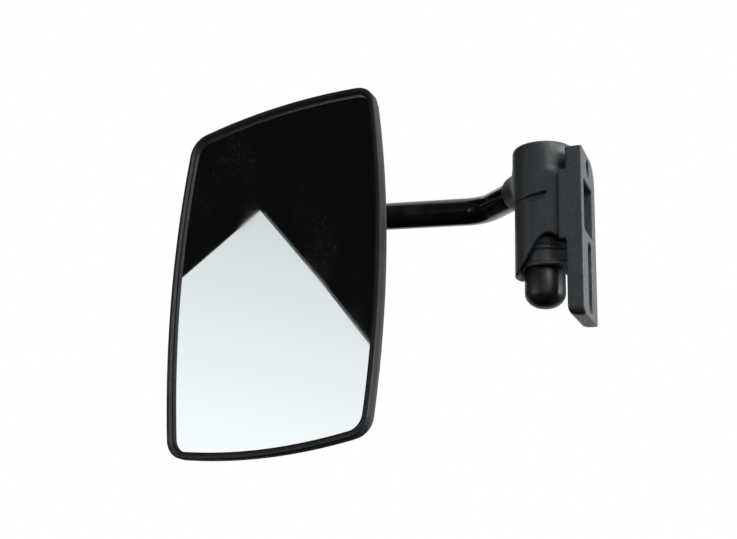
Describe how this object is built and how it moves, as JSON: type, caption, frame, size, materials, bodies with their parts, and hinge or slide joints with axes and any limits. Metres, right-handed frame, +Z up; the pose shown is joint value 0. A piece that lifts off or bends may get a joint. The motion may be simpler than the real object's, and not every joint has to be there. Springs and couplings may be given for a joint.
{
  "type": "exterior mirror",
  "caption": "Exterior vehicle mirror: rectangular rounded head on a ball joint, carried by a bent tube arm that folds on a sprung vertical pivot in a cast bracket.",
  "frame": {"origin": "middle of the bracket's flat mounting face", "axes": "+X out of the mounting face into the vehicle, +Z up along the fold pivot, glass looking roughly along -Y"},
  "size_m": [0.2792, 0.0926, 0.2388],
  "materials": {
    "cast_black": "matt black powder coat over an aluminium casting",
    "bronze": "sintered bronze",
    "zinc_steel": "zinc plated steel",
    "spring_steel": "oiled spring steel",
    "cap_plastic": "satin black moulded plastic",
    "tube_paint": "gloss black paint",
    "seat_nylon": "natural nylon",
    "socket_plastic": "black glass-filled nylon",
    "gasket_rubber": "black rubber",
    "shell_plastic": "fine-grained black moulded plastic",
    "rim_rubber": "satin black rubber moulding",
    "mirror_face": "second-surface silvered glass",
    "backing_plastic": "black polypropylene",
    "foam_black": "closed-cell foam"
  },
  "bodies": {
    "base": {"base_bracket": "cast_black", "pivot_bush": "bronze", "dome_cap": "cap_plastic"},
    "arm": {"hub_housing": "cast_black", "pivot_stud": "zinc_steel", "lower_spring_seat": "zinc_steel", "upper_spring_seat": "zinc_steel", "pivot_spring": "spring_steel", "friction_washer": "zinc_steel", "lock_nut": "zinc_steel", "arm_tube": "tube_paint", "boss_pin": "spring_steel", "ball_stud": "tube_paint", "shank_pin": "spring_steel"},
    "seat": {"ball_seat_front": "seat_nylon", "ball_seat_back": "seat_nylon"},
    "head": {"socket_base": "socket_plastic", "socket_cap": "socket_plastic", "clamp_screws": "zinc_steel", "lock_washers": "zinc_steel", "socket_gasket": "gasket_rubber", "back_shell": "shell_plastic", "rim_gasket": "rim_rubber", "mirror_glass": "mirror_face", "glass_backing": "backing_plastic", "foam_pads": "foam_black", "nut_plate": "zinc_steel", "weld_nuts": "zinc_steel"}
  },
  "joints": [
    {"name": "arm_fold", "type": "hinge", "parent": "base", "child": "arm", "pos_m": [-0.026, 0, 0], "axis": [0, 0, 1], "range_deg": [-45, 45]},
    {"name": "head_tilt", "type": "hinge", "parent": "arm", "child": "seat", "pos_m": [-0.18957, 0.03543, 0.0368], "axis": [0.9949, 0.1011, 0], "range_deg": [-15, 15]},
    {"name": "head_swivel", "type": "hinge", "parent": "seat", "child": "head", "pos_m": [-0.18957, 0.03543, 0.0368], "axis": [0, 0, 1], "range_deg": [-13, 13]}
  ]
}
